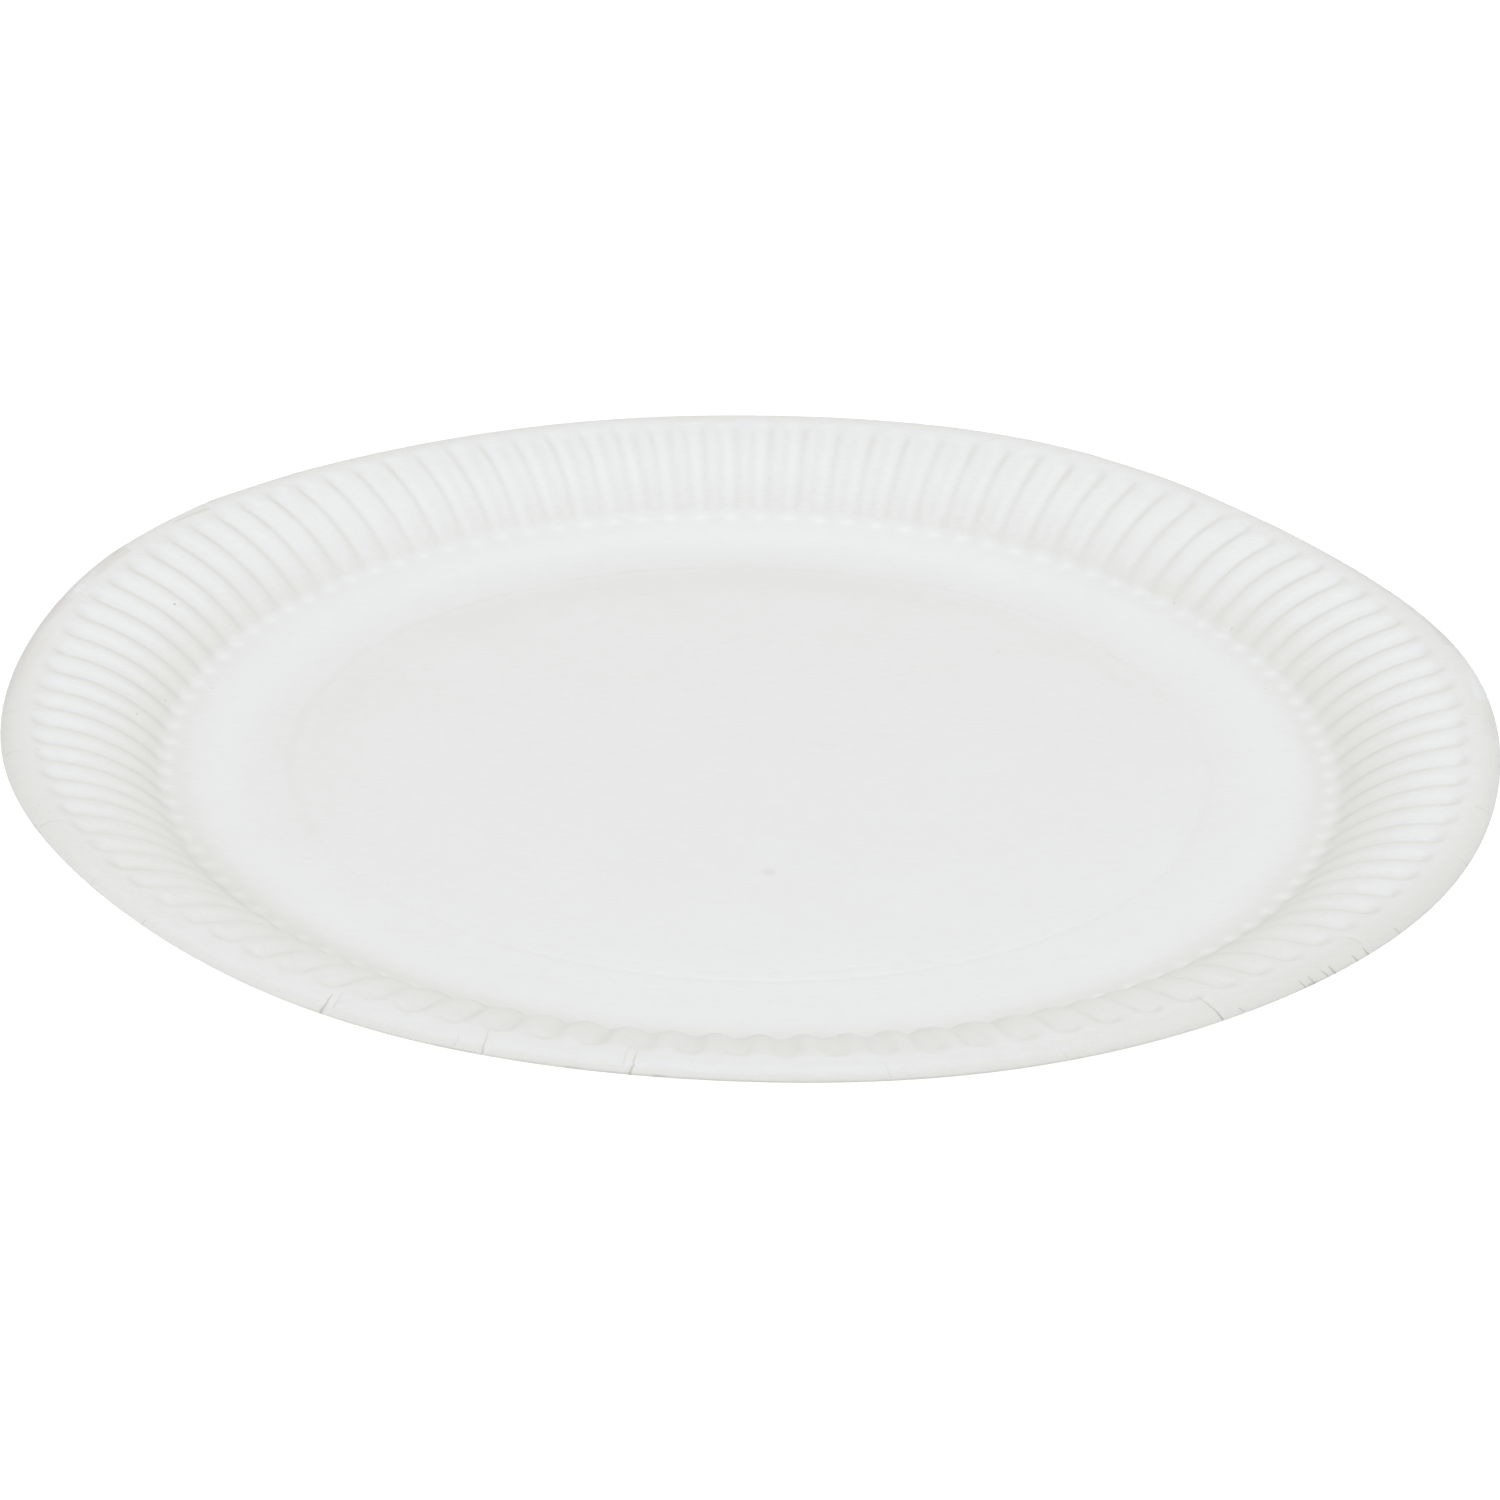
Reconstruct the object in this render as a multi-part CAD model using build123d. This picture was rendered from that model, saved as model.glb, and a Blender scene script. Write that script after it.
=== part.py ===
from build123d import *
import os
from math import comb, cos, hypot, pi, radians, sin, sqrt

import numpy

# A pressed paper plate. One disc of white board is pressed to a flat floor with two
# fine lines in it, a border that rises gently, a wall of radial flutes and a rim whose
# edge turns down. Millimetres, +Z up. The origin is under the middle of the floor, on
# the surface that the plate stands on.

# The whole plate
board = 0.45              # thickness of the board
plate_radius = 114.0      # to the cut edge
rim_height = 11.8         # top of the rim above the floor's upper face

# Radial section, measured inwards from the cut edge
border_width = 42.8       # cut edge to the main pressed line, where the border starts
fine_line_offset = 2.6    # from the main pressed line inwards to the fine one
bulge_inset = 1.15        # cut edge to the centre of the wall's outward bulge
bulge_radius = 28.8       # radius of that bulge, on the upper face
lip_width = 2.4           # width of the turned-down lip
lip_radius = 2.8          # radius of the turn
border_rise = 1.4         # height that the border gains before the wall

# Pressed lines in the upper face of the floor
main_line_width = 1.2
main_line_depth = 0.12
fine_line_width = 1.0
fine_line_depth = 0.05

# Flutes: a pad is pressed in, and a ridge is left between one pad and the next
flute_count = 108
flute_heading = 3.013     # degrees from +X to the middle of the first pad
flute_depth = 1.0         # from the ridges down to the pads
flute_margin = 5.35       # cut edge to the middle of the step that ends each pad
flute_squareness = 0.75   # 1 is a plain wave, and less gives flatter pads and steeper sides
ridge_rounding = 1.0      # height over which a ridge's foot is rounded
pad_rounding = 0.6        # the same for a pad's foot

# Waves that the rim has taken: how many go round, how high, and where the first crest is
rim_waves = [(1, 0.6, 132), (2, 0.35, 25), (4, 0.27, 72), (5, 0.6, 1), (7, 0.38, 5.4)]

steepest_wall = 55        # degrees, where the bulge runs on straight below the foot

# How the smooth patches are laid out and how closely they follow the form
fluted_share = 0.76       # share of the border that is smooth all round, before the flutes
foot_patch_reach = 1.3    # how far past the wall's foot the first fluted patch runs
flute_degree = 8
section_degree = 9
normal_step = 1e-4        # how far apart points are taken to find which way a face points

# Worked out from the sizes above
line_radius = plate_radius - border_width
bulge_centre = plate_radius - bulge_inset
bulge_base = board + rim_height - bulge_radius
pad_end = plate_radius - flute_margin
lip_start = plate_radius - lip_width
lip_slope = (bulge_centre - lip_start) / bulge_radius
lip_centre = lip_start + lip_radius * lip_slope
lip_base = bulge_base + (bulge_radius - lip_radius) * sqrt(1 - lip_slope**2)
foot_drop = rim_height - border_rise
foot_radius = bulge_centre - sqrt(bulge_radius**2 - (bulge_radius - foot_drop) ** 2)
border_reach = foot_radius - line_radius
border_radius = (border_reach**2 + border_rise**2) / (2 * border_rise)
fluted_radius = line_radius + fluted_share * border_reach
pitch_angle = 2 * pi / flute_count
rounded_start = pad_end - pad_end * pitch_angle / 4


def border_height(r):
    """Upper face of the border: an arc that leaves the floor level at the main line."""
    return board + border_radius - sqrt(border_radius**2 - (r - line_radius) ** 2)


def bulge_height(r, sink):
    """Upper face of the wall, lowered by sink: an arc, run on straight past its steepest."""
    steepest = bulge_radius * sin(radians(steepest_wall))
    reach = min(bulge_centre - r, steepest)
    rise = sqrt(bulge_radius**2 - reach**2)
    run_on = bulge_centre - r - reach
    return bulge_base - sink + rise - run_on * reach / rise


def lip_height(r):
    """Upper face of the lip: an arc that leaves the rim in line with it and turns down."""
    return lip_base + sqrt(lip_radius**2 - (r - lip_centre) ** 2)


def rounded_top(a, b, rounding):
    """The higher of two heights, with the corner where they cross rounded off."""
    overlap = max(rounding - abs(a - b), 0)
    return max(a, b) + overlap**2 / (4 * rounding)


def pad_share(r, angle):
    """How far a point is pressed in: 1 along the middle of a pad, 0 on a ridge and the rim.

    The distance is taken from the pad's middle line, and past its last full-depth point
    from that point, which rounds the pad's outer end.
    """
    quarter = r * pitch_angle / 4
    turn = (angle - radians(flute_heading)) / pitch_angle
    aside = (turn - round(turn)) * pitch_angle * r
    beyond = max(r - rounded_start, 0)
    off_middle = min(hypot(aside, beyond) / (2 * quarter), 1)
    wave = cos(pi * off_middle)
    return 0.5 + 0.5 * wave / sqrt(wave**2 + flute_squareness**2 * (1 - wave**2))


def rim_wave(r, angle):
    """Height that the rim's slow waves add, growing with the square of the way out."""
    out = max(r - fluted_radius, 0) / (plate_radius - fluted_radius)
    crests = [height * cos(count * (angle - radians(first))) for count, height, first in rim_waves]
    return sum(crests) * out**2


def upper_point(r, angle):
    """Point on the plate's upper face."""
    if r < lip_start:
        ridge = rounded_top(border_height(r), bulge_height(r, 0), ridge_rounding)
        pad = rounded_top(border_height(r), bulge_height(r, flute_depth), pad_rounding)
        z = ridge + (pad - ridge) * pad_share(r, angle)
    else:
        z = lip_height(r)
    z += rim_wave(r, angle)
    return numpy.array([r * cos(angle), r * sin(angle), z])


def lower_point(r, angle):
    """Point on the underside: the upper point moved in by the board, square to the face."""
    inner = min(r, plate_radius - normal_step) - normal_step
    along = upper_point(inner + 2 * normal_step, angle) - upper_point(inner, angle)
    turn = normal_step / r
    across = upper_point(r, angle + turn) - upper_point(r, angle - turn)
    normal = numpy.cross(along, across)
    return upper_point(r, angle) - board * normal / numpy.linalg.norm(normal)


def spaced(degree):
    """Shares from 0 to 1 at which a patch meets the form, closer together near its ends."""
    return [(1 - cos(pi * i / degree)) / 2 for i in range(degree + 1)]


def controls_from_points(degree):
    """Matrix that turns points along a curve of this degree into its control points."""
    rows = []
    for t in spaced(degree):
        rows.append([comb(degree, k) * t**k * (1 - t) ** (degree - k) for k in range(degree + 1)])
    return numpy.linalg.inv(numpy.array(rows))


def smooth_patch(point_at, inner, outer, start, end):
    """One smooth face through a grid of points between two radii and two angles."""
    grid = numpy.array([
        [point_at(inner + (outer - inner) * i, start + (end - start) * j) for j in spaced(flute_degree)]
        for i in spaced(section_degree)
    ])
    grid = numpy.einsum("ai,ijc->ajc", controls_from_points(section_degree), grid)
    grid = numpy.einsum("bj,ajc->abc", controls_from_points(flute_degree), grid)
    return Face.make_bezier_surface([[tuple(point) for point in row] for row in grid])


def edge_patch(start, end):
    """The cut edge of the board between two angles."""
    grid = numpy.array([
        [point_at(plate_radius, start + (end - start) * j) for j in spaced(flute_degree)]
        for point_at in (upper_point, lower_point)
    ])
    grid = numpy.einsum("bj,ajc->abc", controls_from_points(flute_degree), grid)
    return Face.make_bezier_surface([[tuple(point) for point in row] for row in grid])


def fluted_faces():
    """Both faces and the cut edge of the fluted wall and rim, one flute at a time."""
    joints = [fluted_radius, foot_radius + foot_patch_reach, (foot_radius + pad_end) / 2,
              rounded_start, lip_start, plate_radius]
    faces = []
    for flute in range(flute_count):
        start = radians(flute_heading) + (flute - 0.5) * pitch_angle
        end = start + pitch_angle
        for inner, outer in zip(joints, joints[1:]):
            faces.append(smooth_patch(upper_point, inner, outer, start, end))
            faces.append(smooth_patch(lower_point, inner, outer, start, end))
        faces.append(edge_patch(start, end))
    return faces


def floor_faces():
    """Both faces of the floor and the smooth border, turned round the plate's axis."""
    fine_line = line_radius - fine_line_offset
    fine_start = fine_line - fine_line_width / 2
    fine_end = fine_line + fine_line_width / 2
    main_start = line_radius - main_line_width / 2
    main_end = line_radius + main_line_width / 2
    middle = (main_end + fluted_radius) / 2
    upper = [
        Line((0, 0, board), (fine_start, 0, board)),
        ThreePointArc((fine_start, 0, board), (fine_line, 0, board - fine_line_depth),
                      (fine_end, 0, board)),
        Line((fine_end, 0, board), (main_start, 0, board)),
        ThreePointArc((main_start, 0, board), (line_radius, 0, board - main_line_depth),
                      (main_end, 0, border_height(main_end))),
        ThreePointArc((main_end, 0, border_height(main_end)), (middle, 0, border_height(middle)),
                      (fluted_radius, 0, border_height(fluted_radius))),
    ]
    last = lower_point(fluted_radius, radians(flute_heading) + pitch_angle / 2)
    last_radius = hypot(last[0], last[1])
    under_radius = border_radius + board
    under_middle = (line_radius + last_radius) / 2
    under_height = under_radius - sqrt(under_radius**2 - (under_middle - line_radius) ** 2)
    lower = [
        Line((0, 0, 0), (line_radius, 0, 0)),
        ThreePointArc((line_radius, 0, 0), (under_middle, 0, under_height),
                      (last_radius, 0, last[2])),
    ]
    return [Face.revolve(line.edge(), 360, Axis.Z) for line in upper + lower]


def paper_plate():
    """The plate as one closed solid."""
    return Solid(Shell(floor_faces() + fluted_faces()))


os.makedirs("parts", exist_ok=True)
plate = paper_plate()
plate.label = "plate"
export_step(plate, "parts/plate.step")
print("volume", round(plate.volume), "mm3, valid", plate.is_valid)
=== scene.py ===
import math
import bpy
import numpy as np
from mathutils import Matrix, Vector


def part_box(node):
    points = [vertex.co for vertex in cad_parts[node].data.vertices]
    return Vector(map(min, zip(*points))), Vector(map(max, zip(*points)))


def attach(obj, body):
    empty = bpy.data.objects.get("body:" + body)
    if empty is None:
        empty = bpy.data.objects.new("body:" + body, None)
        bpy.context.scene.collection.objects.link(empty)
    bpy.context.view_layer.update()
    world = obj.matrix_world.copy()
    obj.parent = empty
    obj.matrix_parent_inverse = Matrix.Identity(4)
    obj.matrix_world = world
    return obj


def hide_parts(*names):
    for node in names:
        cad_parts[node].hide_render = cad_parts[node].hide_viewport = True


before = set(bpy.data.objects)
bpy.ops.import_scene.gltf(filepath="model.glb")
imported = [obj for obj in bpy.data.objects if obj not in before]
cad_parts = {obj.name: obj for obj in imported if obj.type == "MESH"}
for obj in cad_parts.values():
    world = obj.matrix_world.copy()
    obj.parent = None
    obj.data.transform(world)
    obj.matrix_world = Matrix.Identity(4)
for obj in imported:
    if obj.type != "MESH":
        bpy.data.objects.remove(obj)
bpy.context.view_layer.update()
plateLow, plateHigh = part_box("plate")
millimetre = 0.001
print("frame loaded")


# The plate's form, in millimetres and degrees. Angles are from +X, anticlockwise.
plateForm = {
    "board": 0.45,              # thickness of the board
    "radius": (plateHigh.x - plateLow.x) / 2 / millimetre - 0.02,
    "rimHeight": 11.8,          # rim above the floor's upper face
    "borderWidth": 42.8,        # cut edge to the main pressed line
    "borderRise": 1.4,
    "fineLineOffset": 2.6,      # from the main pressed line inwards to the fine one
    "mainLine": (1.8, 0.09),    # width and depth of the two pressed lines
    "fineLine": (1.4, 0.04),
    "bulgeInset": 1.15,         # cut edge to the centre of the wall's outward bulge
    "bulgeRadius": 28.8,
    "steepestWall": 55,
    "lipWidth": 2.4,
    "lipRadius": 2.8,
    "fluteCount": 108,
    "fluteHeading": 3.013,      # middle of the first pad
    "fluteDepth": (0.58, 0.92),  # at the foot and at the top
    "deepReach": 13.0,          # how far up from the foot the flutes reach their full depth
    "fluteMargin": 5.35,        # cut edge to the step that ends each pad
    "fluteSquareness": (1.1, 0.80),  # at the foot and up the wall: 1 is a plain wave, less is squarer
    "squareReach": 8.0,         # how far up from the foot the flutes turn square
    "ridgeRounding": 1.0,
    "padRounding": 0.6,
    # the round bump at the foot of each pad: how far inside the foot, height, reach along and across
    "footBump": (1.2, 0.18, 0.9, 1.1),
    "edgeRounding": 0.07,
    "unevenness": 0.05,         # how far one flute's depth differs from the next, as a share
    # slow waves of the rim: how many go round, how high, and where the first crest is
    "rimWaves": ((1, 0.6, 132), (2, 0.35, 25), (4, 0.27, 72), (5, 0.6, 1), (7, 0.38, 5.4)),
    "levelBorder": 0.76,        # share of the border, from inside, that the waves leave alone
    # where the lip is bent: middle, half width, and how much further it turns down
    "lipBends": ((152, 5, 0.5), (140, 3.5, 0.4), (42, 3, 0.3), (55, 2.5, 0.25)),

    # where the mesh has its columns, as shares of a flute's pitch from the middle of a pad
    "wallColumns": (0, 0.125, 0.19, 0.25, 0.31, 0.375, 0.5, 0.625, 0.69, 0.75, 0.81, 0.875),
    "floorColumns": (0, 0.25, 0.5, 0.75),
    "firstRing": 12,            # radius of the first ring round the middle
    # how far inside and outside these places the mesh has its rows close together
    "closeAtFineLine": (0.7, 0.7),
    "closeAtMainLine": (0.9, 0.9),
    "closeAtFoot": (2, 2.5),
    "closeAtPadEnd": (3, 1.4),
    "lastFloorRow": 1.2,        # width of the row that joins the floor's columns to the wall's
    "lastLipRow": 0.12,
    "markedWidth": 5.75,        # faces this near the cut edge take the marked paper
}

form = plateForm
lineRadius = form["radius"] - form["borderWidth"]
bulgeCentre = form["radius"] - form["bulgeInset"]
bulgeBase = form["board"] + form["rimHeight"] - form["bulgeRadius"]
padEnd = form["radius"] - form["fluteMargin"]
lipStart = form["radius"] - form["lipWidth"]
lipSlope = (bulgeCentre - lipStart) / form["bulgeRadius"]
lipCentre = lipStart + form["lipRadius"] * lipSlope
lipBase = bulgeBase + (form["bulgeRadius"] - form["lipRadius"]) * math.sqrt(1 - lipSlope**2)
footDrop = form["rimHeight"] - form["borderRise"]
footRadius = bulgeCentre - math.sqrt(form["bulgeRadius"]**2 - (form["bulgeRadius"] - footDrop)**2)
borderReach = footRadius - lineRadius
borderRadius = (borderReach**2 + form["borderRise"]**2) / (2 * form["borderRise"])
waveStart = lineRadius + form["levelBorder"] * borderReach
pitch = 2 * math.pi / form["fluteCount"]
heading = math.radians(form["fluteHeading"])
rimStart = form["radius"] - form["markedWidth"]
unevenFlutes = 1 + form["unevenness"] * np.random.default_rng(11).normal(size=form["fluteCount"])


# The floor is level up to the main line, then an arc that starts level rises to the wall.
def borderHeight(r):
    out = np.maximum(r - lineRadius, 0)
    return form["board"] + borderRadius - np.sqrt(borderRadius**2 - out**2)


# Two shallow grooves in the floor: each is its depth times (1 - across squared) squared.
def pressedLines(r):
    dip = 0
    for middle, (width, depth) in ((lineRadius, form["mainLine"]),
                                   (lineRadius - form["fineLineOffset"], form["fineLine"])):
        across = np.clip(2 * np.abs(r - middle) / width, 0, 1)
        dip = dip + depth * (1 - across**2) ** 2
    return dip


# The wall is an arc that bulges outwards, run on straight past its steepest.
def bulgeHeight(r, sink):
    steepest = form["bulgeRadius"] * math.sin(math.radians(form["steepestWall"]))
    reach = np.minimum(bulgeCentre - r, steepest)
    rise = np.sqrt(form["bulgeRadius"]**2 - reach**2)
    return bulgeBase - sink + rise - (bulgeCentre - r - reach) * reach / rise


# The lip is a smaller arc that leaves the rim in line with it and turns down.
def lipHeight(r):
    out = np.clip(r, lipStart, form["radius"]) - lipCentre
    return lipBase + np.sqrt(form["lipRadius"]**2 - out**2)


# The higher of two heights, with the corner where they cross rounded off by a parabola.
def roundedTop(a, b, rounding):
    overlap = np.maximum(rounding - np.abs(a - b), 0)
    return np.maximum(a, b) + overlap**2 / (4 * rounding)


# The pad that is nearest to an angle: the turns of one pitch from the first pad, rounded.
def nearestPad(angle):
    return np.round((angle - heading) / pitch)


# Distance across from the middle line of the nearest pad, measured round the plate.
def acrossPad(r, angle):
    return (angle - heading - nearestPad(angle) * pitch) * r


# How far up the wall a place is: 0 at the foot, 1 at the given distance out from it.
def upWall(r, reach):
    return np.clip((r - footRadius) / reach, 0, 1)


# 1 along the middle of a pad and 0 on a ridge: a squared-off cosine of the distance from the pad's
# middle line, and past its last full-depth point from that point, which rounds the pad's outer end.
def padShare(r, angle):
    beyond = np.maximum(r - padEnd * (1 - pitch / 4), 0)
    offMiddle = np.minimum(np.hypot(acrossPad(r, angle), beyond) / (r * pitch / 2), 1)
    wave = np.cos(np.pi * offMiddle)
    atFoot, higher = form["fluteSquareness"]
    squareness = atFoot + (higher - atFoot) * upWall(r, form["squareReach"])
    return 0.5 + 0.5 * wave / np.sqrt(wave**2 + squareness**2 * (1 - wave**2))


# A small round bump on the foot of each pad: a Gaussian in both directions.
def footBump(r, angle):
    inset, height, along, aside = form["footBump"]
    outward = (r - footRadius + inset) / along
    sideways = acrossPad(r, angle) / aside
    return height * np.exp(-(outward**2) - sideways**2)


# The rim's slow waves: cosines round the plate, growing with the square of the way out.
def rimWave(r, angle):
    out = np.maximum(r - waveStart, 0) / (form["radius"] - waveStart)
    crests = sum(height * np.cos(count * (angle - math.radians(first)))
                 for count, height, first in form["rimWaves"])
    return crests * out**2


# Where the lip is bent it drops further: a flat-topped bell round the rim, squared outwards.
def lipBend(r, angle):
    out = np.maximum(r - lipStart, 0) / form["lipWidth"]
    drop = 0
    for middle, halfWidth, depth in form["lipBends"]:
        away = (angle - math.radians(middle) + np.pi) % (2 * np.pi) - np.pi
        drop = drop + depth * np.exp(-((away / math.radians(halfWidth)) ** 4))
    return drop * out**2


# How far each flute is pressed in: from its depth at the foot to that at the top, each a bit uneven.
def fluteSink(r, angle):
    atFoot, atTop = form["fluteDepth"]
    number = nearestPad(angle).astype(int) % form["fluteCount"]
    return (atFoot + (atTop - atFoot) * upWall(r, form["deepReach"])) * unevenFlutes[number]


# Height of the upper face: the border or the wall, whichever is higher, with the pads pressed in.
def upperHeight(r, angle):
    ridge = roundedTop(borderHeight(r), bulgeHeight(r, 0), form["ridgeRounding"])
    pad = roundedTop(borderHeight(r), bulgeHeight(r, fluteSink(r, angle)), form["padRounding"])
    wall = ridge + (pad - ridge) * padShare(r, angle) + footBump(r, angle)
    z = np.where(r < lipStart, wall, lipHeight(r))
    return z + rimWave(r, angle) - lipBend(r, angle)


# A point of the upper face: the radius turned by the angle, at the upper face's height.
def upperPoint(r, angle):
    return np.stack([r * np.cos(angle), r * np.sin(angle), upperHeight(r, angle)], axis=-1)


# A point under the upper face, moved in by a depth square to that face.
def sunkPoint(r, angle, depth):
    step = 1e-3
    inner = np.minimum(r, form["radius"] - step) - step
    along = upperPoint(inner + 2 * step, angle) - upperPoint(inner, angle)
    around = upperPoint(r, angle + step / r) - upperPoint(r, angle - step / r)
    normal = np.cross(along, around)
    normal /= np.linalg.norm(normal, axis=-1, keepdims=True)
    return upperPoint(r, angle) - depth * normal


# Radii from a start, through stretches that are each given by their end and number of rows.
def spans(start, *stretches, closed):
    radii = []
    for end, rows in stretches:
        radii.append(np.linspace(start, end, rows, endpoint=False))
        start = end
    return np.concatenate(radii + [[start]] if closed else radii)


# The close stretch round a place, as its inner and outer radius.
def closeTo(radius, name):
    inwards, outwards = form[name]
    return radius - inwards, radius + outwards


# The four sets of rows: the upper floor and wall, then the wall and floor of the underside.
def plateRadii():
    edge = form["radius"] - form["edgeRounding"]
    fineIn, fineOut = closeTo(lineRadius - form["fineLineOffset"], "closeAtFineLine")
    mainIn, mainOut = closeTo(lineRadius, "closeAtMainLine")
    footIn, footOut = closeTo(footRadius, "closeAtFoot")
    endIn, endOut = closeTo(padEnd, "closeAtPadEnd")
    upperFloor = spans(form["firstRing"], (fineIn, 2), (fineOut, 6), (mainIn, 2), (mainOut, 7),
                       (waveStart - form["lastFloorRow"], 5), (waveStart, 1), closed=False)
    upperWall = spans(waveStart, (footIn, 3), (footOut, 10), (endIn, 8), (endOut, 12), (lipStart, 3),
                      (edge - form["lastLipRow"], 6), (edge, 1), closed=True)
    underWall = spans(waveStart, (footIn, 1), (footOut, 5), (endIn, 3), (endOut, 6), (lipStart, 1),
                      (edge, 3), closed=True)
    underFloor = spans(form["firstRing"], (lineRadius, 1), (waveStart, 4), closed=False)
    return upperFloor, upperWall, underWall[::-1], underFloor[::-1]


# Quads between neighbouring rows of a grid whose rows close round the plate.
def ringQuads(first, rows, columns):
    row, column = np.meshgrid(np.arange(rows - 1), np.arange(columns), indexing="ij")
    a = first + row * columns + column
    b = first + row * columns + (column + 1) % columns
    return np.stack([a, a + columns, b + columns, b], axis=-1).reshape(-1, 4)


# Triangles between a coarse ring and a finer one round it: each coarse step is a fan.
def stitchRings(coarse, coarseCount, fine, fineCount):
    ratio = fineCount // coarseCount
    j = np.arange(fineCount)
    here = coarse + j // ratio
    fan = np.stack([here, fine + j, fine + (j + 1) % fineCount], axis=-1)
    k = np.arange(coarseCount)
    after = (k + 1) % coarseCount
    gap = np.stack([coarse + k, fine + (after * ratio) % fineCount, coarse + after], axis=-1)
    return np.concatenate([fan, gap])


# Triangles from a middle point to a ring round it.
def middleFan(middle, ring, count):
    k = np.arange(count)
    return np.stack([np.full_like(k, middle), ring + k, ring + (k + 1) % count], axis=-1)


# How far each point is from the cut edge along the section, negative past it: summed row steps.
def runFromEdge(section, edgeRow):
    steps = np.linalg.norm(np.diff(section, axis=0), axis=-1)
    travelled = np.concatenate([np.zeros((1, section.shape[1])), np.cumsum(steps, axis=0)])
    return travelled[edgeRow] - travelled


# One closed mesh: the upper face from the middle out, the cut edge, then the underside back in.
def buildPlate():
    flutes = np.arange(form["fluteCount"])[:, None]
    wallAngles = heading + ((flutes + np.array(form["wallColumns"])) * pitch).ravel()
    floorAngles = heading + (flutes + np.array(form["floorColumns"])).ravel() * pitch
    floorRadii, wallRadii, underWallRadii, underFloorRadii = plateRadii()
    floorR, floorA = np.meshgrid(floorRadii, floorAngles, indexing="ij")
    wallR, wallA = np.meshgrid(wallRadii, wallAngles, indexing="ij")
    underR, underA = np.meshgrid(underWallRadii, wallAngles, indexing="ij")
    underFloorR, underFloorA = np.meshgrid(underFloorRadii, floorAngles, indexing="ij")

    board = form["board"]
    rounding = form["edgeRounding"]
    floorPoints = upperPoint(floorR, floorA)
    floorPoints[..., 2] -= pressedLines(floorR)
    rimR = np.full_like(wallAngles, form["radius"])
    edgeDepths = (rounding, board / 2, board - rounding)
    edgePoints = np.stack([sunkPoint(rimR, wallAngles, depth) for depth in edgeDepths])
    rows = [floorPoints, upperPoint(wallR, wallA), edgePoints,
            sunkPoint(underR, underA, board), sunkPoint(underFloorR, underFloorA, board)]
    middleTop = np.array([[0, 0, board]])
    middleUnder = np.zeros((1, 3))
    points = np.concatenate([middleTop] + [row.reshape(-1, 3) for row in rows] + [middleUnder])

    coarse, fine = len(floorAngles), len(wallAngles)
    floorRows, underRows = len(floorRadii), len(underFloorRadii)
    wallRows = len(wallRadii) + len(edgeDepths) + len(underWallRadii)
    floorFirst = 1
    wallFirst = floorFirst + floorRows * coarse
    underFirst = wallFirst + wallRows * fine
    middle = len(points) - 1
    quads = np.concatenate([ringQuads(floorFirst, floorRows, coarse),
                            ringQuads(wallFirst, wallRows, fine),
                            ringQuads(underFirst, underRows, coarse)])
    triangles = np.concatenate([middleFan(0, floorFirst, coarse),
                                stitchRings(wallFirst - coarse, coarse, wallFirst, fine),
                                stitchRings(underFirst, coarse, underFirst - fine, fine)[:, ::-1],
                                middleFan(middle, middle - coarse, coarse)[:, ::-1]])

    wallRun = runFromEdge(points[wallFirst:underFirst].reshape(wallRows, fine, 3), len(wallRadii) - 1)
    run = np.empty(len(points))
    run[:wallFirst] = wallRun[0].mean()
    run[wallFirst:underFirst] = wallRun.ravel()
    run[underFirst:] = wallRun[-1].mean()
    return points * millimetre, quads, triangles, run


def makeMesh(name, points, quads, triangles, run):
    mesh = bpy.data.meshes.new(name)
    corners = np.concatenate([quads.ravel(), triangles.ravel()])
    starts = np.concatenate([np.arange(len(quads)) * 4, quads.size + np.arange(len(triangles)) * 3])
    mesh.vertices.add(len(points))
    mesh.loops.add(len(corners))
    mesh.polygons.add(len(starts))
    mesh.vertices.foreach_set("co", points.ravel())
    mesh.loops.foreach_set("vertex_index", corners)
    mesh.polygons.foreach_set("loop_start", starts)
    mesh.polygons.foreach_set("use_smooth", np.ones(len(starts), bool))
    mesh.update(calc_edges=True)
    mesh.validate()
    mesh.attributes.new("fromEdge", "FLOAT", "POINT").data.foreach_set("value", run.astype(np.float32))
    piece = bpy.data.objects.new(name, mesh)
    bpy.context.collection.objects.link(piece)
    return piece


paperPlate = makeMesh("paperPlate", *buildPlate())
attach(paperPlate, "root")
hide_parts("plate")
print("plate built", len(paperPlate.data.polygons), "faces")


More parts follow.
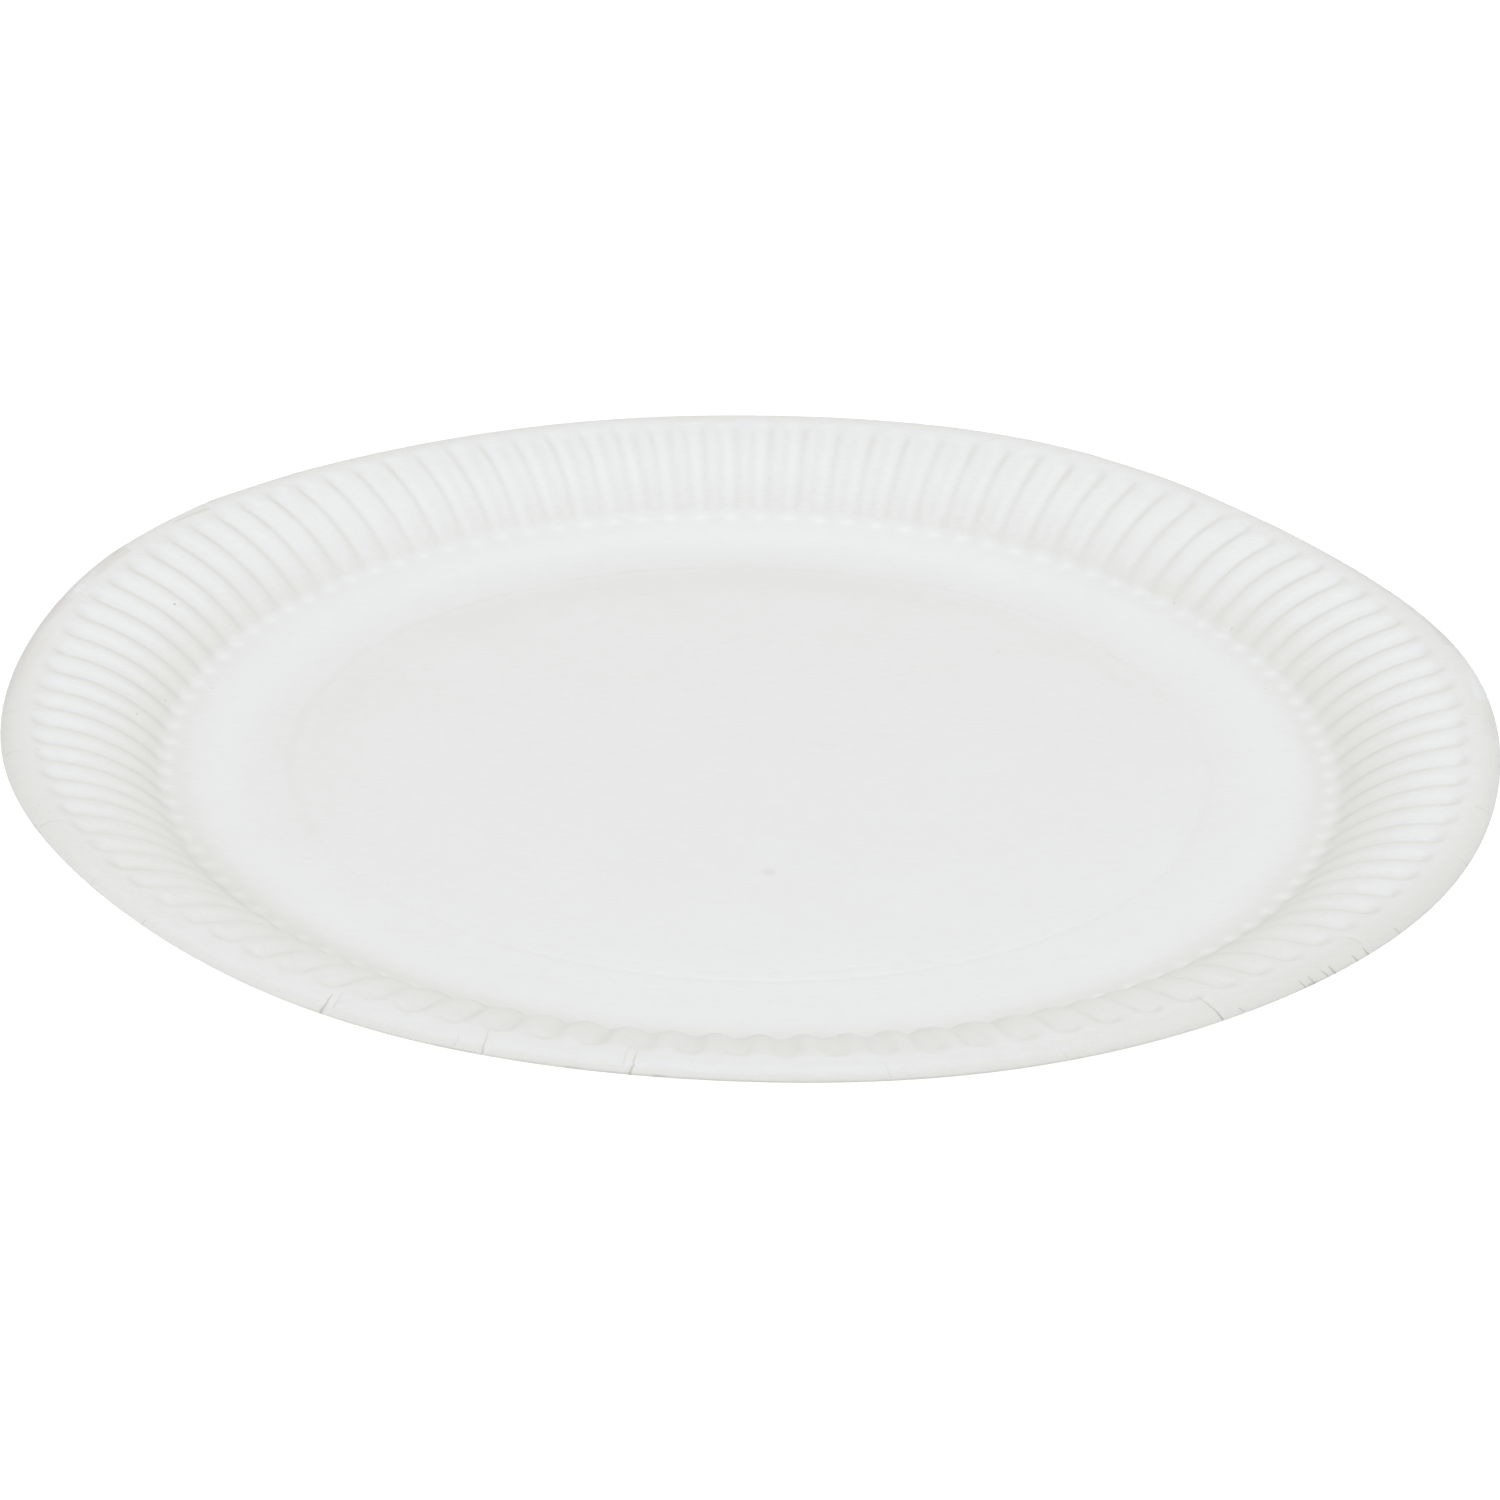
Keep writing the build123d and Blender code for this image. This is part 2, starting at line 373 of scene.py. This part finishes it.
# One socket in an expression: each operator adds the Math node that it needs.
class Wire:
    def __init__(self, tree, socket):
        self.tree = tree
        self.socket = socket

    def node(self, kind, settings, values, output=0):
        node = self.tree.nodes.new(kind)
        for name, value in settings.items():
            setattr(node, name, value)
        for name, value in values.items():
            if isinstance(value, Wire):
                self.tree.links.new(value.socket, node.inputs[name])
            else:
                node.inputs[name].default_value = value
        return Wire(self.tree, node.outputs[output])

    def math(self, operation, *values, clamp=False):
        return self.node("ShaderNodeMath", {"operation": operation, "use_clamp": clamp},
                         dict(enumerate(values)))

    def __add__(self, other):
        return self.math("ADD", self, other)

    def __radd__(self, other):
        return self.math("ADD", other, self)

    def __sub__(self, other):
        return self.math("SUBTRACT", self, other)

    def __rsub__(self, other):
        return self.math("SUBTRACT", other, self)

    def __mul__(self, other):
        return self.math("MULTIPLY", self, other)

    def __rmul__(self, other):
        return self.math("MULTIPLY", other, self)

    def __truediv__(self, other):
        return self.math("DIVIDE", self, other)

    # this number held between 0 and 1
    def clamped(self):
        return self.math("ADD", self, 0.0, clamp=True)

    def cosine(self):
        return self.math("COSINE", self)

    # 0 where this is at low, 1 at high, smooth between and level beyond
    def between(self, low, high):
        return self.node("ShaderNodeMapRange", {"interpolation_type": "SMOOTHSTEP"},
                         {0: self, 1: low, 2: high, 3: 0.0, 4: 1.0})

    # a bell that is 1 where this is 0 and falls away over the given half width
    def bell(self, halfWidth):
        share = self / halfWidth
        return self.math("EXPONENT", share * share * -1)

    # the same for an angle, which comes round again: middle and half width are in degrees
    def bellRound(self, middle, halfWidth):
        away = self - math.radians(middle)
        return self.math("EXPONENT", (away.cosine() - 1) * (2 / math.radians(halfWidth) ** 2))

    # this number times a fixed colour or vector
    def times(self, fixed):
        return self.node("ShaderNodeVectorMath", {"operation": "SCALE"}, {0: fixed, "Scale": self})

    def vector(self, operation, *values):
        return self.node("ShaderNodeVectorMath", {"operation": operation}, dict(enumerate(values)))

    # a Vector Math node whose result is a number
    def number(self, operation, *values):
        return self.node("ShaderNodeVectorMath", {"operation": operation}, dict(enumerate(values)), 1)

    # noise at this place, with so many waves to a millimetre each way
    def noise(self, waves, detail):
        place = self.vector("MULTIPLY", self, waves)
        return self.node("ShaderNodeTexNoise", {}, {"Vector": place, "Scale": 1.0, "Detail": detail})

    # this colour with another laid over it
    def blend(self, over, cover):
        settings = {"data_type": "RGBA", "blend_type": "MIX"}
        return self.node("ShaderNodeMix", settings, {0: cover, 6: self, 7: (*over, 1)}, 2)


# What the paper looks like. Lengths are in millimetres, and tones are shares of the white. Angles
# are in degrees round from the front, to the right.
paper = {
    "white": (0.808, 0.806, 0.783),
    "roughness": (0.58, 0.70),
    "specular": 0.25,
    # noise of the board: waves to a millimetre each way, detail and how much it changes the tone
    "grain": ((4.0, 4.5, 4.5), 2.0, 0.080),
    "fibres": ((0.35, 2.6, 2.6), 3.0, 0.080),
    "clouds": ((0.045, 0.06, 0.06), 3.0, 0.026),
    "fibreRange": (0.3, 0.7),   # the fibres' noise that gives the least and the most roughness
    "grainRelief": 0.006,
    "fibreRelief": 0.012,
    # rings of painted light and painted shade, a little lighter or darker round the plate: middle radius,
    # half width, tone
    "paintedRings": ((71.2, 0.9, -0.011), (75.5, 3.0, 0.004), (81.5, 4.6, 0.025), (89.8, 2.8, -0.036),
              (99.5, 4.5, 0.009)),
    # painted shade on the outer rim, where the lip turns down: where it starts, where it is full, and the
    # tone
    "paintedRimShade": (109.5, 112.5, -0.034),
    # stretches of painted light and painted shade, lighter or darker: angle and half width, then radius
    # and half width, then the tone
    "paintedStretches": (
        (-92, 26, 112.5, 3.5, -0.018), (-38, 22, 112.5, 3.5, 0.012), (0, 20, 112.5, 3.5, 0.012),
        (46, 22, 112.5, 3.5, -0.044), (-45, 26, 89.3, 2.6, -0.044), (42, 22, 89.3, 2.6, -0.018),
        (180, 45, 89.3, 2.6, 0.018), (0, 50, 72.5, 4.0, 0.020), (180, 50, 66.0, 6.0, -0.020),
        (-90, 40, 70.0, 8.0, -0.012), (90, 32, 105.0, 3.8, 0.014), (90, 32, 87.4, 1.4, -0.012),
        (180, 42, 84.5, 4.5, 0.014), (180, 45, 94.0, 3.0, -0.008),
    ),
    # painted light on the pads and painted shade on the sides of the flutes, where little light falls
    # across them: angle, half width, and the tones of the pads and the sides
    "paintedFluteLight": (180, 52, 0.009, 0.014),
    "paintedFluteLightFade": 3.0,       # width over which they fade in and out along a flute
    # a painted highlight: a pale spot at the foot of each pad
    "paintedFootHighlight": (0.95, 1.15, 0.060),  # reach along and across of the light spot at each foot, and its tone
    # how a fleck's edge softens, in shares of its size, how ragged it is, and how well it covers
    "fleckEdge": (0.5, 1.5),
    "fleckRaggedness": 0.2,
    "fleckCover": 0.5,

    # the marked paper of the rim
    # the cut edge is painted paler than the board: painted light where the lamps leave it dark
    "paintedEdgeLight": (0.90, 0.90, 0.87),
    "edgeLine": (0.02, -0.08),  # where along the section the cut edge's colour starts and is full
    "edgeCover": 0.9,
    "wander": (0.36, 0.1, 0),   # how far a mark strays round the rim and across it
    "wanderNoise": (1.3, 2.0),  # waves to a millimetre, and detail
    "strokeEdge": (0.45, 1.15),  # a stroke's soft edge, in shares of its half width
    "strokeTaper": 0.5,
    # small radial creases: waves to a millimetre round and across the rim, detail and height, then
    # how far in from the cut edge they start and are full
    "rimCreases": ((1.25, 0.2, 0), 2.0, 0.035),
    "rimCreaseReach": (5.5, 3.0),
    "stain": (0.33, 0.27, 0.18),
    "crackCover": 0.58,
    "stainCover": 0.3,
    "crackDepth": 0.10,
    "creaseColour": (0.88, 0.88, 0.87),
    "creaseCover": 0.3,
    "creaseHeight": 0.03,
    "patchMottle": ((0.9, 0.9, 0), 3.0, 0.9),
    "patchEdge": (0.2, 1.1),
    "patchCover": 0.55,
}

# Small flecks in the board: angle, radius, size and colour.
flecks = (
    (-108.1, 98.9, 0.18, (0.36, 0.28, 0.12)), (128.4, 90.8, 0.14, (0.35, 0.33, 0.30)),
    (119.8, 91.9, 0.16, (0.62, 0.52, 0.25)), (106.9, 86.8, 0.14, (0.50, 0.46, 0.38)),
    (-94.1, 92.3, 0.15, (0.38, 0.36, 0.33)), (-87.9, 94.8, 0.16, (0.66, 0.50, 0.34)),
    (-63.1, 111.1, 0.15, (0.66, 0.48, 0.30)), (-64.4, 112.0, 0.13, (0.66, 0.48, 0.30)),
    (133.8, 56.2, 0.15, (0.40, 0.38, 0.35)), (4.6, 39.8, 0.9, (0.70, 0.70, 0.68)),
    (-99.9, 87.2, 0.22, (0.72, 0.58, 0.48)),
)

# Cracks in the rim: where each starts and ends, as an angle and a distance in from the cut edge,
# then its half width and how dark it is.
cracks = (
    (47.95, 0.0, 47.8, 1.1, 0.22, 0.74), (46.65, 0.0, 46.45, 1.0, 0.22, 0.74),
    (44.15, 0.0, 43.9, 1.2, 0.25, 0.81), (43.4, 0.0, 43.15, 1.1, 0.2, 0.68),
    (41.95, 0.0, 41.75, 1.2, 0.2, 0.68), (41.1, 0.0, 40.8, 1.1, 0.22, 0.61),
    (52.0, 0.1, 51.85, 1.1, 0.19, 0.61), (35.3, 0.2, 35.05, 0.8, 0.17, 0.61),
    (33.5, 0.1, 33.2, 2.2, 0.25, 0.68), (33.2, 2.2, 33.3, 4.4, 0.19, 0.51),
    (33.3, 4.4, 33.6, 6.4, 0.14, 0.34), (47.7, 5.0, 47.9, 3.8, 0.14, 0.27),
    (47.9, 3.8, 48.05, 2.0, 0.17, 0.38), (-28.8, 0.1, -28.7, 1.7, 0.32, 0.68),
    (-28.7, 1.7, -28.95, 3.5, 0.2, 0.54), (-28.1, 1.3, -28.15, 2.6, 0.19, 0.3),
    (-28.15, 2.6, -28.55, 4.7, 0.16, 0.24), (-18.9, 0.4, -18.8, 1.5, 0.14, 0.24),
    (-18.8, 1.5, -19.05, 2.2, 0.13, 0.2), (-16.95, 0.1, -17.0, 1.9, 0.2, 0.46),
    (-17.0, 1.9, -17.3, 4.7, 0.16, 0.3), (-7.15, 0.0, -7.0, 1.1, 0.26, 0.65),
    (-7.0, 1.1, -7.0, 3.0, 0.19, 0.46), (-7.0, 3.0, -6.95, 4.6, 0.14, 0.3),
    (-7.65, 1.4, -7.65, 3.3, 0.14, 0.22), (-7.65, 3.3, -7.6, 5.0, 0.12, 0.16),
    (-3.3, 1.8, -3.1, 3.5, 0.14, 0.16), (9.6, 0.2, 9.3, 2.6, 0.14, 0.19),
    (21.5, 0.3, 21.2, 1.6, 0.14, 0.16), (-81.7, 0.8, -81.3, 2.7, 0.17, 0.3),
    (-74.2, 0.9, -74.15, 3.3, 0.19, 0.35), (-74.65, 5.3, -74.55, 5.9, 0.17, 0.47),
    (-61.4, 0.6, -61.35, 3.5, 0.19, 0.38), (-52.0, 0.2, -52.2, 1.4, 0.17, 0.24),
    (-45.5, 0.1, -45.4, 0.9, 0.17, 0.34), (87.1, 4.4, 86.9, 1.6, 0.16, 0.22),
    (71.85, 3.0, 71.95, 0.3, 0.17, 0.27), (64.0, 0.2, 63.8, 1.3, 0.16, 0.24),
)

# Stains along the cut edge: the angles that each runs from and to, half width and how dark.
edgeStains = (
    (41.5, 42.3, 0.34, 0.95), (-20.3, -16.9, 0.13, 0.36), (-14.5, -12.6, 0.08, 0.22),
    (-11.3, -10.1, 0.18, 0.6), (-5.6, -4.7, 0.18, 0.66), (-62.2, -61.4, 0.21, 0.84),
    (-63.3, -59.0, 0.13, 0.42), (-8.6, -7.4, 0.08, 0.22),
)

# Pale raised creases beside some of the cracks, laid out as the cracks are.
creases = (
    (-28.3, 1.2, -28.75, 4.8, 0.30, 0.5), (-61.9, 0.6, -61.8, 5.0, 0.35, 0.5),
    (-7.4, 0.5, -7.3, 4.2, 0.25, 0.4), (33.7, 0.4, 33.8, 4.6, 0.30, 0.4),
    (48.5, 1.0, 48.4, 4.6, 0.35, 0.4), (-82.3, 0.5, -82.0, 4.0, 0.30, 0.4),
    (72.3, 0.5, 72.2, 4.0, 0.30, 0.4), (-104.0, 0.2, -103.2, 4.5, 0.55, 0.8),
    (-112.4, 0.2, -112.8, 4.0, 0.40, 0.6), (-123.9, 0.2, -124.2, 4.0, 0.40, 0.6),
    (99.9, 0.2, 99.6, 4.0, 0.45, 0.7), (105.6, 0.2, 105.8, 4.0, 0.40, 0.6),
    (26.0, 0.3, 25.8, 3.2, 0.25, 0.3), (-38.0, 0.3, -38.2, 4.0, 0.30, 0.35),
    (15.5, 0.4, 15.3, 2.8, 0.25, 0.3),
)

# Patches of the lip that catch or miss the light where it's bent: laid out as the cracks are, with
# each patch's colour before its strength.
rimPatches = (
    (-111.7, 2.4, -106.4, 2.9, 1.5, (0.62, 0.59, 0.54), 0.60),
    (-123.0, 3.5, -118.8, 3.2, 0.7, (0.56, 0.53, 0.48), 0.60),
    (-122.6, 2.0, -119.4, 2.0, 0.9, (0.88, 0.88, 0.88), 0.45),
    (-117.4, 1.8, -112.9, 1.7, 1.3, (0.87, 0.88, 0.88), 0.40),
    (-104.2, 2.4, -102.8, 2.6, 1.1, (0.88, 0.88, 0.88), 0.50),
    (-101.4, 1.7, -97.6, 1.8, 1.8, (0.66, 0.62, 0.57), 0.50),
    (-94.0, 2.4, -86.0, 2.4, 2.0, (0.72, 0.69, 0.65), 0.35),
    (90.4, 1.0, 98.0, 1.0, 2.1, (0.89, 0.90, 0.91), 0.75),
    (100.2, 1.8, 104.6, 1.4, 1.3, (0.68, 0.65, 0.61), 0.50),
    (84.0, 1.6, 88.2, 1.6, 1.9, (0.70, 0.68, 0.64), 0.45),
    (72.0, 1.6, 82.0, 1.8, 1.8, (0.73, 0.71, 0.67), 0.30),
)


# The rim is dressed in parts, so that each part's paper holds only its own marks. These are the
# angles where the parts meet, and no mark crosses one.
rimParts = (-180, -70, -33, -15, 12, 38, 60, 180)


# The marks that lie in one part of the rim.
def marksBetween(marks, part):
    return [mark for mark in marks if part[0] <= mark[0] < part[1]]


# A place on the unrolled rim: how far round along the cut edge, and how far in from it.
def rimSpot(angle, fromEdge):
    return Vector((math.radians(angle) * form["radius"], fromEdge, 0))


# How strongly a tapering stroke covers a place: the distance to its middle line against its half width.
def strokeCover(place, start, end, halfWidth):
    along = end - start
    toPlace = place.vector("SUBTRACT", place, tuple(start))
    share = place.number("DOT_PRODUCT", toPlace, tuple(along / along.length_squared)).clamped()
    distance = place.number("DISTANCE", toPlace, share.times(tuple(along)))
    solid, clear = paper["strokeEdge"]
    narrowed = distance + share * (halfWidth * paper["strokeTaper"])
    return 1 - narrowed.between(halfWidth * solid, halfWidth * clear)


# The cover of a mark that is laid out as the cracks are.
def markCover(rim, startAngle, startIn, endAngle, endIn, halfWidth):
    return strokeCover(rim, rimSpot(startAngle, startIn), rimSpot(endAngle, endIn), halfWidth)


# Painted light and shade: 1, with the changes of the painted rings, the painted stretches, the painted
# shade of the rim, the painted light and shade of the flutes and the painted highlights at their feet.
def paintedLightAndShade(radius, fromFront):
    tone = 1.0
    # rings of painted light and painted shade
    for middle, halfWidth, change in paper["paintedRings"]:
        tone = (radius - middle).bell(halfWidth) * change + tone
    # stretches of painted light and painted shade
    for middle, halfWidth, middleRadius, halfRadius, change in paper["paintedStretches"]:
        across = (radius - middleRadius).bell(halfRadius)
        tone = tone + fromFront.bellRound(middle, halfWidth) * across * change
    # painted shade on the outer rim
    inner, outer, change = paper["paintedRimShade"]
    tone = tone + radius.between(inner, outer) * change

    # turns of one pitch from the nearest pad, -0.5 to 0.5, where the front is a quarter turn from +X
    turn = (fromFront - (heading + math.pi / 2)) / pitch
    turn = turn - turn.math("ROUND", turn)
    # painted light on the pads and painted shade on the flutes' sides, towards the back
    middle, halfWidth, padLight, sideShade = paper["paintedFluteLight"]
    fade = paper["paintedFluteLightFade"]
    onWall = radius.between(footRadius, footRadius + fade) * radius.between(padEnd, padEnd - fade)
    pads = (turn * (2 * math.pi)).cosine() * padLight
    sides = (turn * (4 * math.pi)).cosine() * sideShade
    tone = tone + fromFront.bellRound(middle, halfWidth) * onWall * (pads + sides)
    # a painted highlight at the foot of each pad
    along, aside, change = paper["paintedFootHighlight"]
    outward = radius - (footRadius - form["footBump"][0])
    return tone + outward.bell(along) * (turn * pitch * radius).bell(aside) * change


# The flecks of the rim, or of everything inside it.
def addFlecks(colour, flat, grain, onRim):
    solid, clear = paper["fleckEdge"]
    for angle, away, size, fleckColour in flecks:
        if (away > rimStart) == onRim:
            spot = (away * math.sin(math.radians(angle)), -away * math.cos(math.radians(angle)), 0)
            distance = flat.number("DISTANCE", flat, spot) + (grain - 0.5) * paper["fleckRaggedness"]
            cover = 1 - distance.between(size * solid, size * clear)
            colour = colour.blend(fleckColour, cover * paper["fleckCover"])
    return colour


# The marks of one part of the rim, with painted light and shade on the bent lip and the cut edge painted
# paler as painted light, laid over the paper's colour and pressed into its relief.
def addRimMarks(colour, relief, fromFront, part):
    fromEdge = colour.node("ShaderNodeAttribute", {"attribute_name": "fromEdge"}, {}, 2)
    rim = colour.node("ShaderNodeCombineXYZ", {}, {0: fromFront * form["radius"], 1: fromEdge})
    waves, detail = paper["wanderNoise"]
    stray = rim.node("ShaderNodeTexNoise", {}, {"Vector": rim, "Scale": waves, "Detail": detail}, 1)
    back = tuple(-0.5 * size for size in paper["wander"])
    rim = rim.vector("ADD", rim, stray.vector("MULTIPLY_ADD", stray, paper["wander"], back))
    waves, detail, height = paper["rimCreases"]
    relief = relief + rim.noise(waves, detail) * fromEdge.between(*paper["rimCreaseReach"]) * height

    pale = 0.0
    for *course, strength in marksBetween(creases, part):
        pale = markCover(rim, *course) * strength + pale
    dark = 0.0
    for *course, strength in marksBetween(cracks, part):
        cover = markCover(rim, *course)
        dark = cover.math("MAXIMUM", cover * (strength * paper["crackCover"]), dark)
    for startAngle, endAngle, halfWidth, strength in marksBetween(edgeStains, part):
        cover = markCover(rim, startAngle, 0, endAngle, 0, halfWidth) * (strength * paper["stainCover"])
        dark = cover.math("MAXIMUM", cover, dark)

    # the cut edge painted paler, as painted light
    colour = colour.blend(paper["paintedEdgeLight"], fromEdge.between(*paper["edgeLine"]) * paper["edgeCover"])
    colour = colour.blend(paper["creaseColour"], pale * paper["creaseCover"])
    waves, detail, raggedness = paper["patchMottle"]
    mottle = (rim.noise(waves, detail) - 0.5) * raggedness
    for *course, shade, strength in marksBetween(rimPatches, part):
        cover = (markCover(rim, *course) + mottle).between(*paper["patchEdge"])
        colour = colour.blend(shade, cover * (strength * paper["patchCover"]))
    colour = colour.blend(paper["stain"], dark)
    return colour, relief + pale * paper["creaseHeight"] - dark * paper["crackDepth"]


# The paper's nodes, with the marks of one part of the rim, or with none.
def paperMaterial(name, part=None):
    material = bpy.data.materials.new(name)
    material.use_nodes = True
    tree = material.node_tree
    shader = tree.nodes["Principled BSDF"]
    metres = Wire(tree, tree.nodes.new("ShaderNodeTexCoord").outputs["Object"])
    place = metres.vector("MULTIPLY", metres, (1 / millimetre, 1 / millimetre, 1 / millimetre))
    x = place.node("ShaderNodeSeparateXYZ", {}, {0: place}, 0)
    y = place.node("ShaderNodeSeparateXYZ", {}, {0: place}, 1)
    flat = place.node("ShaderNodeCombineXYZ", {}, {0: x, 1: y})
    radius = place.number("LENGTH", flat)
    fromFront = x.math("ARCTAN2", x, -1 * y)

    texture = 1
    noises = []
    for kind in ("grain", "fibres", "clouds"):
        waves, detail, change = paper[kind]
        noises.append(place.noise(waves, detail))
        texture = texture + (noises[-1] - 0.5) * change
    grain, fibres = noises[:2]
    # the paper's white with its grain and clouds, times the painted light and shade
    colour = (paintedLightAndShade(radius, fromFront) * texture).times(paper["white"])
    relief = grain * paper["grainRelief"] + fibres * paper["fibreRelief"]
    colour = addFlecks(colour, flat, grain, part is not None)
    if part:
        colour, relief = addRimMarks(colour, relief, fromFront, part)

    smooth, coarse = paper["roughness"]
    rough = fibres.between(*paper["fibreRange"]) * (coarse - smooth) + smooth
    bump = place.node("ShaderNodeBump", {}, {"Strength": 1.0, "Distance": millimetre, "Height": relief})
    tree.links.new(colour.socket, shader.inputs["Base Color"])
    tree.links.new(rough.socket, shader.inputs["Roughness"])
    tree.links.new(bump.socket, shader.inputs["Normal"])
    shader.inputs["Specular IOR Level"].default_value = paper["specular"]
    return material


# Faces near the cut edge take the marked paper of their part of the rim.
def dressPlate(piece):
    mesh = piece.data
    mesh.materials.append(paperMaterial("pressedPaper"))
    for number, part in enumerate(zip(rimParts, rimParts[1:])):
        mesh.materials.append(paperMaterial(f"rimPaper{number + 1}", part))
    centres = np.zeros(len(mesh.polygons) * 3)
    mesh.polygons.foreach_get("center", centres)
    x, y = centres[0::3], centres[1::3]
    part = np.searchsorted(rimParts[1:-1], np.degrees(np.arctan2(x, -y)), side="right") + 1
    marked = np.hypot(x, y) > rimStart * millimetre
    mesh.polygons.foreach_set("material_index", np.where(marked, part, 0).astype(np.int32))


dressPlate(paperPlate)
print("paper made")


# The white room, in metres and watts.
studio = {
    "floorSize": 60.0,
    "glow": 1.1,                # how bright the white floor and the room behind it look
    "lampDistance": 1.8,
    # each lamp's direction from the plate, as degrees round from +X and up, its size, its strength
    # and its colour
    "lamps": {
        "topLamp": (0, 90, 1.6, 16.5, (0.977, 0.994, 1.030)),
        "rightLamp": (0, 50, 1.3, 6.2, (0.992, 0.998, 1.010)),
        "frontLeftLamp": (225, 50, 1.3, 8.7, (0.990, 0.996, 1.015)),
        "frontRightLamp": (315, 50, 1.3, 3.55, (0.995, 0.998, 1.007)),
        "backLamp": (90, 50, 1.3, 2.05, (0.998, 1.0, 1.002)),
        "lowRightLamp": (0, 18, 1.0, 5.2, (0.998, 0.999, 1.003)),
        "lowLeftLamp": (180, 18, 1.0, 4.05, (1.0, 1.0, 1.0)),
        "lowFrontLamp": (270, 18, 1.0, 2.4, (0.998, 0.999, 1.003)),
        "lowFrontLeftLamp": (225, 18, 1.0, 2.95, (0.999, 0.999, 1.002)),
        "lowBackLamp": (90, 18, 1.0, 1.65, (1.0, 1.0, 1.0)),
        "underFrontLamp": (270, -20, 1.3, 9.0, (1.0, 1.0, 1.0)),
        "underRightLamp": (0, -20, 1.0, 10.4, (1.0, 1.0, 1.0)),
        "underLeftLamp": (180, -20, 1.0, 11.4, (1.0, 1.0, 1.0)),
        "underBackLamp": (90, -20, 1.3, 8.6, (1.0, 1.0, 1.0)),
        "underLamp": (0, -90, 1.6, 28.0, (1.0, 1.0, 1.0)),
    },
}


# The floor glows evenly white where the camera sees it, and lights and shades nothing.
def makeFloor():
    half = studio["floorSize"] / 2
    low = plateLow.z
    corners = [(-half, -half, low), (half, -half, low), (half, half, low), (-half, half, low)]
    mesh = bpy.data.meshes.new("studioFloor")
    mesh.from_pydata(corners, [], [(0, 1, 2, 3)])
    floor = bpy.data.objects.new("studioFloor", mesh)
    bpy.context.collection.objects.link(floor)
    material = bpy.data.materials.new("floorWhite")
    material.use_nodes = True
    shader = material.node_tree.nodes["Principled BSDF"]
    shader.inputs["Base Color"].default_value = (0, 0, 0, 1)
    shader.inputs["Specular IOR Level"].default_value = 0.0
    shader.inputs["Emission Color"].default_value = (1, 1, 1, 1)
    shader.inputs["Emission Strength"].default_value = studio["glow"]
    mesh.materials.append(material)
    floor.visible_diffuse = False
    floor.visible_glossy = False
    floor.visible_shadow = False


# The room is the same even white, and only the camera sees it.
def makeRoom():
    world = bpy.data.worlds.new("softRoom")
    world.use_nodes = True
    background = world.node_tree.nodes["Background"]
    background.inputs["Color"].default_value = (1, 1, 1, 1)
    background.inputs["Strength"].default_value = studio["glow"]
    world.cycles_visibility.diffuse = False
    world.cycles_visibility.glossy = False
    bpy.context.scene.world = world


# A frame at a place that looks back at a target, rolled about its own line of sight.
def aimedFrom(place, target, roll):
    back = (place - target).normalized()
    side = Vector((0, 0, 1)).cross(back)
    side = Vector((1, 0, 0)) if side.length < 1e-6 else side.normalized()
    up = back.cross(side)
    right = math.cos(roll) * side + math.sin(roll) * up
    upright = math.cos(roll) * up - math.sin(roll) * side
    matrix = Matrix((right, upright, back)).transposed().to_4x4()
    matrix.translation = place
    return matrix


def makeLamps():
    for name, (turn, rise, size, strength, colour) in studio["lamps"].items():
        turn, rise = math.radians(turn), math.radians(rise)
        way = Vector((math.cos(turn) * math.cos(rise), math.sin(turn) * math.cos(rise), math.sin(rise)))
        light = bpy.data.lights.new(name, "AREA")
        light.shape = "DISK"
        light.size = size
        light.energy = strength
        light.color = colour
        lamp = bpy.data.objects.new(name, light)
        lamp.matrix_world = aimedFrom(studio["lampDistance"] * way, Vector((0, 0, 0)), 0)
        bpy.context.collection.objects.link(lamp)


# The camera, in metres and degrees, with its lens and sensor in millimetres.
cameraSetting = {
    "aim": (-0.00003, -0.00285, 0.00185),
    "distance": 0.5601,
    "elevation": 26.61,
    "roll": 1.516,
    "lens": 86.79,
    "sensor": 36,
}


def makeCamera():
    setting = cameraSetting
    lens = bpy.data.cameras.new("plateCamera")
    lens.sensor_width = setting["sensor"]
    lens.lens = setting["lens"]
    camera = bpy.data.objects.new("plateCamera", lens)
    tilt = math.radians(setting["elevation"])
    aim = Vector(setting["aim"])
    place = aim + setting["distance"] * Vector((0, -math.cos(tilt), math.sin(tilt)))
    camera.matrix_world = aimedFrom(place, aim, math.radians(setting["roll"]))
    bpy.context.collection.objects.link(camera)
    bpy.context.scene.camera = camera


# A light grade, in linear brightness: points before and after for red and blue, so that shaded
# paper is a little warm and lit paper a little cool, and darker or lighter things stay as they are.
grade = {
    "red": ((0.610, 0.610), (0.730, 0.738), (0.782, 0.785), (0.801, 0.801), (0.828, 0.825),
            (0.871, 0.866), (0.956, 0.954)),
    "blue": ((0.610, 0.610), (0.730, 0.715), (0.782, 0.776), (0.801, 0.801), (0.828, 0.835),
             (0.871, 0.881), (0.956, 0.958)),
}


def gradeView():
    view = bpy.context.scene.view_settings
    view.view_transform = "Standard"
    view.use_curve_mapping = True
    channels = ("red", "green", "blue")
    for name, points in grade.items():
        curve = view.curve_mapping.curves[channels.index(name)]
        for before, after in points:
            curve.points.new(before, after)
    view.curve_mapping.update()


makeFloor()
makeRoom()
makeLamps()
makeCamera()
gradeView()
print("studio ready")
